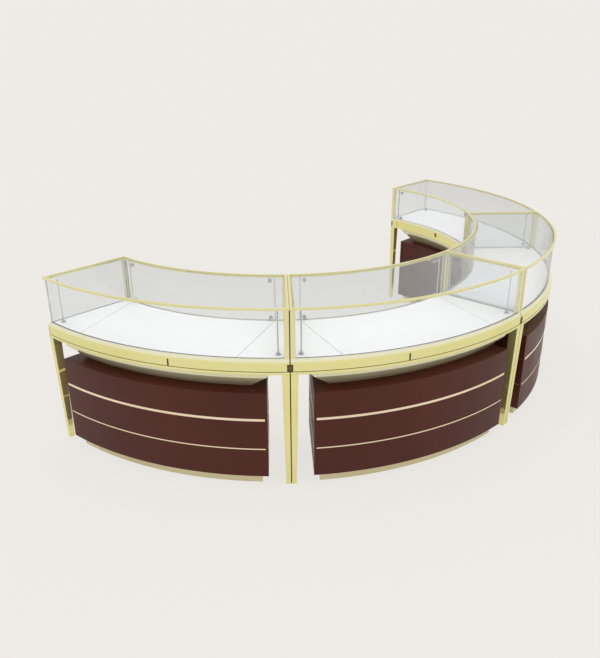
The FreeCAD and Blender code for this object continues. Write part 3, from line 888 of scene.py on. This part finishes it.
# %% Joint strips
STRIP_WIDTH = 4.6 * MM
LEG_OUTER = (24 * MM, 46 * MM)
LEG_INNER = (24 * MM, 42 * MM)
APRON_OUTER = (17 * MM, 28 * MM)
APRON_INNER = (16 * MM, 26 * MM)
POST_BOTH = (5 * MM, 20 * MM)
RIM_SETBACK = 3 * MM
RIM_STRIP_DROP = 5 * MM


def strip_pair(near, far, inner, outer, low, high):
    """Strips on both sides of a frame. A pair says how far behind its face a strip begins and ends."""
    return [(far - outer[1], far - outer[0], low, high), (near + inner[0], near + inner[1], low, high)]


leg_near, leg_far = reach("legs")
leg_low, leg_high = [corner[2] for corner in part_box("legs")]
post_low, post_high = [corner[2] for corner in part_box("case_posts")]
rim_near, rim_far = reach("top_rims")
rim_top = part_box("top_rims")[1][2]
dark_shade_strips = strip_pair(leg_near, leg_far, LEG_INNER, LEG_OUTER, leg_low, leg_high)
dark_shade_strips += strip_pair(leg_near, leg_far, APRON_INNER, APRON_OUTER, leg_high, post_low)
dark_shade_strips += strip_pair(post_near, post_far, POST_BOTH, POST_BOTH, post_low, post_high)
gold_shade_strip = (rim_near + RIM_SETBACK, rim_far - RIM_SETBACK, post_high, rim_top - RIM_STRIP_DROP)
strip_mesh = bmesh.new()
for angle in joint_angles[1:-1]:
    # Nearly black strips: painted shade in the gaps between legs, aprons and posts.
    for place in dark_shade_strips:
        end_strip(strip_mesh, angle, -STRIP_WIDTH / 2, STRIP_WIDTH / 2, *place)
    # The dull gold strip, in the plinth's gold, is painted shade in the gap between the rims.
    end_strip(strip_mesh, angle, -STRIP_WIDTH / 2, STRIP_WIDTH / 2, *gold_shade_strip, finish=1)
joint_shade_strips = make_piece("joint_shade_strips", strip_mesh, "counter", "dark_steel", painted_gap_shade, plinth_and_gap_shade_gold)
print("made", joint_shade_strips.name)

# %% [markdown]
# The band of the apron is a separate strip of sheet, laid into a channel. It leaves a shadow gap along
# its foot, and it is cut once in each section, off the middle. The shade in both gaps is painted: a thin,
# nearly black liner lies in the gap below each pair of bands and in the cut between them, so both gaps
# read as fine dark lines.

# %% Shadow gaps of the apron
LINER_THICKNESS = 0.4 * MM
GROOVE_HEIGHT = 3.0 * MM
CHANNEL_PLAY = 0.05 * MM

source = welded("apron_bands")
bands = sorted(limits(faces) for faces in solids(source))
source.free()
liner_mesh = bmesh.new()
for first, second in zip(bands[::2], bands[1::2]):
    (start, cut_start), (nearest, _), (low, high) = first
    cut_end, end = second[0]
    near = nearest - CHANNEL_PLAY
    # A nearly black liner: painted shade in the groove below the bands and in the cut between them.
    sweep_strip(liner_mesh, start, end, near, near + LINER_THICKNESS, low - GROOVE_HEIGHT, low)
    sweep_strip(liner_mesh, cut_start, cut_end, near, near + LINER_THICKNESS, low, high)
liners = make_piece("painted_shade_liners", liner_mesh, "counter", "dark_steel", painted_gap_shade)
print("made", liners.name, "for", len(bands), "band strips")

# %% [markdown]
# Poles, clamps, knobs and screws are turned pieces. One small tool makes them all, as a lathe does: it
# takes half an outline, spins it about an axis and closes the two ends.

# %% A small lathe


def turn(mesh, profile, matrix, steps=32, finish=0):
    """Spins a profile of (radius, height) pairs about the frame's Z axis, and closes its two ends."""
    angles = [2 * math.pi * step / steps for step in range(steps)]
    rings = []
    for radius, height in profile:
        spots = [Vector((radius * math.cos(angle), radius * math.sin(angle), height)) for angle in angles]
        rings.append([mesh.verts.new(matrix @ spot) for spot in spots])
    faces = [mesh.faces.new(rings[0]), mesh.faces.new(rings[-1])]
    for lower, upper in zip(rings, rings[1:]):
        for step in range(steps):
            after = (step + 1) % steps
            faces.append(mesh.faces.new((lower[step], lower[after], upper[after], upper[step])))
    for face in faces:
        face.material_index = finish


print("lathe ready")

# %% [markdown]
# Two slim light poles stand in the front corners of every showcase. Each would be three turned parts: a
# round base with a chamfer, a collar that clamps the rod, and the rod with a rounded tip. Here one
# profile holds all three, because nothing shows where they meet.

# %% Light poles
POLE_RADIUS = 3.0 * MM
BASE_RADIUS = 13.0 * MM
BASE_TOP = 6.0 * MM
COLLAR_RADIUS = 5.5 * MM
COLLAR_TOP = 16.0 * MM


def pole_profile(height):
    """Outline of a pole from its base over the collar to its rounded tip."""
    return [
        (BASE_RADIUS, 0),
        (BASE_RADIUS, BASE_TOP - 1.6 * MM),
        (BASE_RADIUS - 0.7 * MM, BASE_TOP - 0.6 * MM),
        (BASE_RADIUS - 1.7 * MM, BASE_TOP),
        (COLLAR_RADIUS + 1.2 * MM, BASE_TOP),
        (COLLAR_RADIUS, BASE_TOP + 1.2 * MM),
        (COLLAR_RADIUS, COLLAR_TOP - 1.0 * MM),
        (COLLAR_RADIUS - 0.8 * MM, COLLAR_TOP),
        (POLE_RADIUS, COLLAR_TOP),
        (POLE_RADIUS, height - 1.5 * MM),
        (POLE_RADIUS - 0.5 * MM, height - 0.4 * MM),
        (POLE_RADIUS - 1.5 * MM, height),
    ]


pole_places = solid_boxes("light_poles")
pole_mesh = bmesh.new()
for low, high, middle in pole_places:
    foot = Matrix.Translation((middle.x, middle.y, low.z))
    turn(pole_mesh, pole_profile(high.z - low.z), foot, steps=24)
light_poles = make_piece("turned_light_poles", pole_mesh, "counter", "steel", satin_steel)
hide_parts("light_poles")
print("made", light_poles.name)

# %% [markdown]
# The light itself comes from a narrow opal lens along the rod, on the side that looks into the case. The
# lens is a strip with a slightly narrower front, and its back lies inside the rod, so no gap shows.

# %% Lenses of the light poles
LENS_WIDTH = 3.6 * MM
LENS_DEPTH = 1.2 * MM
LENS_FOOT = 40 * MM
LENS_HEAD = 15 * MM
LENS_SEAT = 0.8 * POLE_RADIUS
FRONT_SHARE = 0.6


def add_lens(mesh, foot, direction, low, high):
    """Slim lens on the side of a pole that looks in a direction."""
    side = UP.cross(direction) * LENS_WIDTH / 2
    back = foot + direction * LENS_SEAT
    front = foot + direction * (POLE_RADIUS + LENS_DEPTH)
    section = (back - side, back + side, front + side * FRONT_SHARE, front - side * FRONT_SHARE)
    rows = [[mesh.verts.new((spot.x, spot.y, height)) for spot in section] for height in (low, high)]
    strip_of(mesh, rows)


lens_mesh = bmesh.new()
for low, high, middle in pole_places:
    own_section = min(section_angles, key=lambda angle: abs(angle - bearing(middle)))
    inside = around(own_section, distance_out(middle), middle.z) - middle
    add_lens(lens_mesh, middle, inside.normalized(), low.z + LENS_FOOT, high.z - LENS_HEAD)
pole_lenses = make_piece("pole_lenses", lens_mesh, "counter", "driver_case", opal_lens)
print("made", pole_lenses.name)

# %% [markdown]
# The rear pane of every drawer is held in its corners by round clamps. A clamp is a pair of discs on the
# two faces of the glass, drawn together by a screw. The inner disc has a rounded rim and a screw with a
# six-sided socket, and a thin cap closes the other side. Both are spun from profiles, whose heights are
# shares of the disc's height. The socket is not cut out: a dark six-sided plug on the screw is its painted shade.

# %% Pane clamps
CLAMP_RADIUS = 10 * MM
CLAMP_HEIGHT = 8 * MM
CAP_HEIGHT = 2.5 * MM
CLAMP_PLAY = 0.1 * MM
PANE_THICKNESS = 6 * MM
DISC = [(CLAMP_RADIUS, 0), (CLAMP_RADIUS, 0.72), (0.93 * CLAMP_RADIUS, 0.92), (0.82 * CLAMP_RADIUS, 1.0)]
SCREW = [(0.50 * CLAMP_RADIUS, 1.0), (0.50 * CLAMP_RADIUS, 0.86), (0.46 * CLAMP_RADIUS, 0.80)]
SOCKET = [(0.24 * CLAMP_RADIUS, 0.80), (0.24 * CLAMP_RADIUS, 0.815)]


def facing(place, direction):
    """Frame at a place whose Z axis points in a direction."""
    matrix = direction.to_track_quat("Z", "Y").to_matrix().to_4x4()
    matrix.translation = place
    return matrix


def raised(profile, height):
    """Profile whose levels were shares of a height."""
    return [(radius, share * height) for radius, share in profile]


def dress_clamps(number):
    """Round clamps of one drawer's pane, with their screws and caps."""
    node = f"drawer_{number}_pane_clamps"
    mesh = bmesh.new()
    for _, _, middle in solid_boxes(node):
        direction = outward(bearing(middle))
        seat = around(bearing(middle), distance_out(middle) - CLAMP_HEIGHT / 2, middle.z)
        cap_seat = seat - direction * (PANE_THICKNESS + 2 * CLAMP_PLAY)
        turn(mesh, raised(DISC + SCREW, CLAMP_HEIGHT), facing(seat, direction))
        turn(mesh, raised(DISC, CAP_HEIGHT), facing(cap_seat, -direction))
        # The dark plug is the painted shade of the socket's hollow.
        turn(mesh, raised(SOCKET, CLAMP_HEIGHT), facing(seat, direction), steps=6, finish=1)
    name = f"drawer_{number}_round_clamps"
    piece = make_piece(name, mesh, body_of[node], "steel", satin_steel, bronze_and_socket_shade)
    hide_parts(node)
    return piece


clamps = [dress_clamps(number) for number in SECTIONS]
print("made", len(clamps), "sets of clamps")

# %% [markdown]
# The cabinet doors are opened by small round knobs. A knob is turned from brass bar: a thin rosette
# against the door, a waisted stem and a flattened ball. The ball's outline is part of an ellipse, from
# the stem to near the crown, and a formula gives its points.

# %% Door knobs
KNOB_RADIUS = 13 * MM
KNOB_HALF = 8 * MM
STEM_LENGTH = 14 * MM
ROSETTE = [(11 * MM, 0), (11 * MM, 1.2 * MM), (10 * MM, 2 * MM), (6 * MM, 2.4 * MM), (5 * MM, 4 * MM)]
BALL_POINTS = 12
BALL_START = math.radians(-68)
BALL_SPAN = math.radians(150)


def knob_profile():
    """Outline from the rosette over the stem to the crown of the ball."""
    profile = list(ROSETTE)
    for point in range(BALL_POINTS + 1):
        angle = BALL_START + BALL_SPAN * point / BALL_POINTS
        profile.append((KNOB_RADIUS * math.cos(angle), STEM_LENGTH + KNOB_HALF * math.sin(angle)))
    return profile


def dress_knob(node):
    """Turned knob in place of a plain one."""
    middle = solid_boxes(node)[0][2]
    angle = bearing(middle)
    foot = around(angle, reach(node)[1], middle.z)
    mesh = bmesh.new()
    turn(mesh, knob_profile(), facing(foot, -outward(angle)))
    piece = make_piece(f"turned_{node}", mesh, body_of[node], slot_of[node], cream_gold)
    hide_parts(node)
    return piece


knobs = [dress_knob(f"door_{number}_{hand}_knob") for number in SECTIONS for hand in ("left", "right")]
print("turned", len(knobs), "knobs")

# %% [markdown]
# Every drawer has a cam lock in the middle of its front. What shows of it is an upright bronze plate with
# a round face in it, and in the face a slot for the key. Plate and face are made by one tool: a ring of
# quads between two outlines with the same number of points, with a little thickness, so hole and slot are
# real openings. An outline is a function that turns an angle into a point.

# %% Plates with a hole
LOCK_POINTS = 32
END_STEEPNESS = 2.2


def round_point(angle, radius):
    """Point of a circle, as a pair across and up."""
    return radius * math.cos(angle), radius * math.sin(angle)


def upright_point(angle, half_width, half_height):
    """Point of an upright shape with round ends, as a pair across and up."""
    straight = half_height - half_width
    across, up = round_point(angle, half_width)
    return across, up + straight * max(-1, min(1, END_STEEPNESS * math.sin(angle)))


def holed_plate(mesh, seat, axis, thickness, outline, hole):
    """Plate between two outlines that are given as functions of an angle."""
    side = UP.cross(axis)
    loops = []
    for depth in (0, thickness):
        for shape in (outline, hole):
            pairs = [shape(2 * math.pi * step / LOCK_POINTS) for step in range(LOCK_POINTS)]
            spots = [seat + axis * depth + side * across + UP * up for across, up in pairs]
            loops.append([mesh.verts.new(spot) for spot in spots])
    outer_back, inner_back, outer_front, inner_front = loops
    for first, second in ((outer_back, inner_back), (outer_front, inner_front),
                          (outer_back, outer_front), (inner_back, inner_front)):
        for step in range(LOCK_POINTS):
            after = (step + 1) % LOCK_POINTS
            mesh.faces.new((first[step], first[after], second[after], second[step]))


print("plate tool ready")

# %% [markdown]
# The plate stays on the drawer. The face turns with the lock, and so does the dark disc behind its slot.
# The disc is painted shade: the slot shows it dark instead of the bare lock behind it.

# %% Lock faces
FACE_RADIUS = 9.4 * MM
FACE_THICKNESS = 0.8 * MM
SLOT_HALVES = (0.9 * MM, 4.6 * MM)
PLATE_HALVES = (12.5 * MM, 16.5 * MM)
HOLE_RADIUS = 10.4 * MM
PLATE_THICKNESS = 1.0 * MM
PLATE_SEAT = 2.9 * MM
KEY_DISC_RADIUS = 1.1 * SLOT_HALVES[1]
KEY_DISC_THICKNESS = 0.1 * MM
KEY_DISC = [(KEY_DISC_RADIUS, 0), (KEY_DISC_RADIUS, KEY_DISC_THICKNESS)]


def dress_lock(number):
    """Plate on the drawer, turning face with a key slot, and the dark disc of painted shade behind the slot."""
    place, axis = lock_line(number)
    angle = bearing(place)
    seat = around(angle, reach(f"drawer_{number}_lock")[0], place.z)
    plate_seat = around(angle, reach(f"drawer_{number}_front")[0] + PLATE_SEAT, place.z)
    plate_mesh = bmesh.new()
    holed_plate(plate_mesh, plate_seat, axis, PLATE_THICKNESS,
                outline=lambda turned: upright_point(turned, *PLATE_HALVES),
                hole=lambda turned: round_point(turned, HOLE_RADIUS))
    make_piece(f"drawer_{number}_lock_plate", plate_mesh, f"drawer_{number}", "dark_steel", bronze_and_socket_shade)
    face_mesh = bmesh.new()
    holed_plate(face_mesh, seat, axis, FACE_THICKNESS,
                outline=lambda turned: round_point(turned, FACE_RADIUS),
                hole=lambda turned: upright_point(turned, *SLOT_HALVES))
    make_piece(f"lock_{number}_face", face_mesh, f"lock_{number}", "dark_steel", worn_brass)
    # The dark disc behind the slot is painted shade.
    disc_mesh = bmesh.new()
    turn(disc_mesh, KEY_DISC, facing(seat, axis))
    make_piece(f"lock_{number}_key_slot_shade", disc_mesh, f"lock_{number}", "dark_steel", painted_gap_shade)


for number in SECTIONS:
    dress_lock(number)
print("dressed", len(SECTIONS), "locks")

# %% [markdown]
# Two sections are bolted together through bronze blocks in the notches of the apron. Each block shows the
# head of one brass socket screw, on the face that looks out of the notch. The heads are spun with a
# chamfer. The socket is not cut out: a dark six-sided plug on the head is its painted shade. The fillers
# at the free ends are narrow and have no screw.

# %% Joint screws
SCREW_RADIUS = 4.6 * MM
SCREW_HEIGHT = 2.2 * MM
SCREW_HEAD = [(SCREW_RADIUS, 0), (SCREW_RADIUS, 1.5 * MM), (SCREW_RADIUS - 0.7 * MM, SCREW_HEIGHT)]
SOCKET_RADIUS = 2.6 * MM
PLUG_HEIGHT = 0.05 * MM
SCREW_SOCKET = [(SOCKET_RADIUS, SCREW_HEIGHT), (SOCKET_RADIUS, SCREW_HEIGHT + PLUG_HEIGHT)]
LEAST_BLOCK = 20 * MM

ring_middle = (leg_near + leg_far) / 2
screw_mesh = bmesh.new()
screws = 0
source = welded("joint_connectors")
for faces in solids(source):
    points = points_of(faces)
    middle = sum(points, Vector()) / len(points)
    angle = bearing(middle)
    across = [point.dot(along_ring(angle)) for point in points]
    if max(across) - min(across) < LEAST_BLOCK:
        continue
    depths = [(point - ring_axis).dot(outward(angle)) for point in points]
    looks_out = (min(depths) + max(depths)) / 2 > ring_middle
    depth = max(depths) if looks_out else min(depths)
    direction = outward(angle) if looks_out else -outward(angle)
    matrix = facing(around(angle, depth, middle.z), direction)
    turn(screw_mesh, SCREW_HEAD, matrix, steps=24)
    # The dark plug is the painted shade of the socket's hollow.
    turn(screw_mesh, SCREW_SOCKET, matrix, steps=6, finish=1)
    screws += 1
source.free()
joint_screws = make_piece("joint_screws", screw_mesh, "counter", "dark_steel", worn_brass, bronze_and_socket_shade)
print("made", joint_screws.name, "with", screws, "heads")

# %% [markdown]
# The counter stands alone on a pale ivory ground that runs on without a horizon. The floor is an ordinary
# matt surface for the light that bounces off it. What the camera, the reflections and the view through
# glass meet is mostly the plain ground colour, with a little of the lit surface mixed in near the
# counter, so that a soft shadow stays.

# %% Ground
GROUND = (0.855, 0.831, 0.791, 1)
SHADOW_SHARE = 0.12
SHADOW_REACH = (2.2, 5.5)
FLOOR_HALF = 40.0


def seen_directly(tree):
    """1 for rays from the camera, from reflections and from behind glass, else 0."""
    rays = add_node(tree, "ShaderNodeLightPath")
    looking = either(tree, rays.outputs["Is Camera Ray"], rays.outputs["Is Glossy Ray"])
    return either(tree, looking, rays.outputs["Is Transmission Ray"])


def ground_finish():
    """Matt floor that shows the plain ground colour and a soft shadow."""
    finish, tree, shader = new_finish("ivory_ground")
    fill_inputs(tree, shader, {"Base Color": GROUND, "Roughness": 0.9, "Specular IOR Level": 0.0})
    plain = add_node(tree, "ShaderNodeEmission", {"Color": GROUND, "Strength": 1.0})
    place = add_node(tree, "ShaderNodeTexCoord")
    away = add_node(tree, "ShaderNodeVectorMath", {0: place.outputs["Object"]}, operation="LENGTH")
    share = add_node(tree, "ShaderNodeMapRange", {
        "Value": away.outputs["Value"], "From Min": SHADOW_REACH[0], "From Max": SHADOW_REACH[1],
        "To Min": SHADOW_SHARE, "To Max": 0.0}, interpolation_type="SMOOTHSTEP")
    lit = shader.outputs["BSDF"]
    shaded = mix_shaders(tree, share.outputs["Result"], plain.outputs["Emission"], lit)
    shown = mix_shaders(tree, seen_directly(tree), lit, shaded)
    tree.links.new(shown, tree.nodes["Material Output"].inputs["Surface"])
    return finish


floor_mesh = bmesh.new()
bmesh.ops.create_grid(floor_mesh, x_segments=1, y_segments=1, size=FLOOR_HALF)
floor_data = bpy.data.meshes.new("ground")
floor_mesh.to_mesh(floor_data)
floor_mesh.free()
floor_data.materials.append(ground_finish())
floor = bpy.data.objects.new("ground", floor_data)
scene.collection.objects.link(floor)
print("made", floor.name)

# %% [markdown]
# The surroundings are split in the same way. As a source of light they are a plain white sky, which fills
# the shadows. Where the camera, a reflection or the view through glass meets them, they have the colour
# of the ground, so floor and background run into each other.

# %% Surroundings
SKY_LIGHT = 0.72

world = bpy.data.worlds.new("studio")
world.use_nodes = True
scene.world = world
sky_tree = world.node_tree
sky = sky_tree.nodes["Background"]
fill_inputs(sky_tree, sky, {"Color": (1, 1, 1, 1), "Strength": SKY_LIGHT})
backdrop = add_node(sky_tree, "ShaderNodeBackground", {"Color": GROUND, "Strength": 1.0})
shown_sky = mix_shaders(sky_tree, seen_directly(sky_tree), sky.outputs["Background"],
                        backdrop.outputs["Background"])
sky_tree.links.new(shown_sky, sky_tree.nodes["World Output"].inputs["Surface"])
print("made", world.name)

# %% [markdown]
# Two large soft boxes shape the even light: one overhead, for the deck and the top rims, and one on the
# customers' side, for the cabinet fronts. Their strength is chosen so that a colour comes out about as
# bright as it is written. Reflections don't meet the boxes, only the plain backdrop, so no hard-edged
# patch lies in the polished gold. Many panes lie behind each other here, so a ray may pass more clear
# layers than usual.

# %% Lamps
CLEAR_LAYERS = 64


def soft_box(name, place, target, width, height, power):
    """Large lamp that looks at a target."""
    data = bpy.data.lights.new(name, "AREA")
    data.shape = "RECTANGLE"
    data.size = width
    data.size_y = height
    data.energy = power
    lamp = bpy.data.objects.new(name, data)
    lamp.matrix_world = facing(Vector(place), Vector(place) - Vector(target))
    lamp.visible_glossy = False
    scene.collection.objects.link(lamp)
    return lamp


lamps = [
    soft_box("overhead_box", place=(-0.3, 0.2, 5.2), target=(0, 0.2, 0.7),
             width=6.2, height=6.2, power=114),
    soft_box("customer_side_box", place=(-4.3, -4.5, 5.0), target=(0, 0, 0.5),
             width=7.4, height=4.4, power=72),
]
scene.cycles.transparent_max_bounces = CLEAR_LAYERS
print("lamps:", *[lamp.name for lamp in lamps])

# %% [markdown]
# The camera stands on the customers' side, to the left of the half ring and about two metres up. It is
# given by its bearing around the ring, its distance from the axis, its height and three turns. The lens
# follows from the focal length in pixels, because Blender measures it against a sensor that spans the
# longer side of the image.

# %% Camera
IMAGE_LONG_SIDE = 658
FOCAL_PIXELS = 678.8
SENSOR = 36.0
CAMERA_BEARING = math.radians(-45.7)
CAMERA_DISTANCE = 4.671
CAMERA_HEIGHT = 2.070
CAMERA_YAW = math.radians(1.39)
CAMERA_PITCH = math.radians(22.87)
CAMERA_ROLL = math.radians(-0.39)

camera_data = bpy.data.cameras.new("customer_view")
camera_data.sensor_width = SENSOR
camera_data.lens = FOCAL_PIXELS / IMAGE_LONG_SIDE * SENSOR
camera = bpy.data.objects.new("customer_view", camera_data)
scene.collection.objects.link(camera)

ahead = -outward(CAMERA_BEARING)
right = ahead.cross(UP)
level = right * math.sin(CAMERA_YAW) + ahead * math.cos(CAMERA_YAW)
forward = level * math.cos(CAMERA_PITCH) - UP * math.sin(CAMERA_PITCH)
side = right * math.cos(CAMERA_YAW) - ahead * math.sin(CAMERA_YAW)
upright = side.cross(forward)
camera_x = side * math.cos(CAMERA_ROLL) + upright * math.sin(CAMERA_ROLL)
camera_y = upright * math.cos(CAMERA_ROLL) - side * math.sin(CAMERA_ROLL)
camera_turn = Matrix((camera_x, camera_y, -forward)).transposed().to_4x4()
camera_place = around(CAMERA_BEARING, CAMERA_DISTANCE, CAMERA_HEIGHT)
camera.matrix_world = Matrix.Translation(camera_place) @ camera_turn
scene.camera = camera
print("camera at", [round(value, 3) for value in camera_place])

# %% [markdown]
# Last, the view layer is brought up to date.

# %% Bring the scene up to date
bpy.context.view_layer.update()
